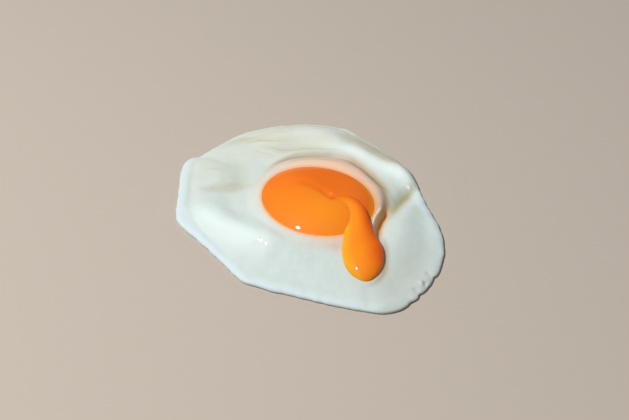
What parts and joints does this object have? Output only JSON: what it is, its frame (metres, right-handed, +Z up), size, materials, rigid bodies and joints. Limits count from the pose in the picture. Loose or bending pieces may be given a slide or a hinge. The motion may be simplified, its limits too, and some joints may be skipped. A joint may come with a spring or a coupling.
{
  "type": "fried egg",
  "caption": "Sunny-side-up fried egg: a folded white around a low domed yolk that has broken, with a run of yolk lying over the white. It lies on its flat underside.",
  "frame": {"origin": "middle of the white's outline, at the height of its flat underside", "axes": "+Z up from the underside; +Y the egg's longest way, towards the broad back fold; +X towards the rounded right side"},
  "size_m": [0.1046, 0.1142, 0.0135],
  "materials": {
    "egg_white": "wet, set egg white, smooth and slightly translucent",
    "yolk": "wet yolk in its skin, smooth",
    "yolk_run": "liquid yolk, glossy"
  },
  "bodies": {
    "root": {"white": "egg_white", "yolk": "yolk", "yolk_run": "yolk_run"}
  },
  "joints": []
}
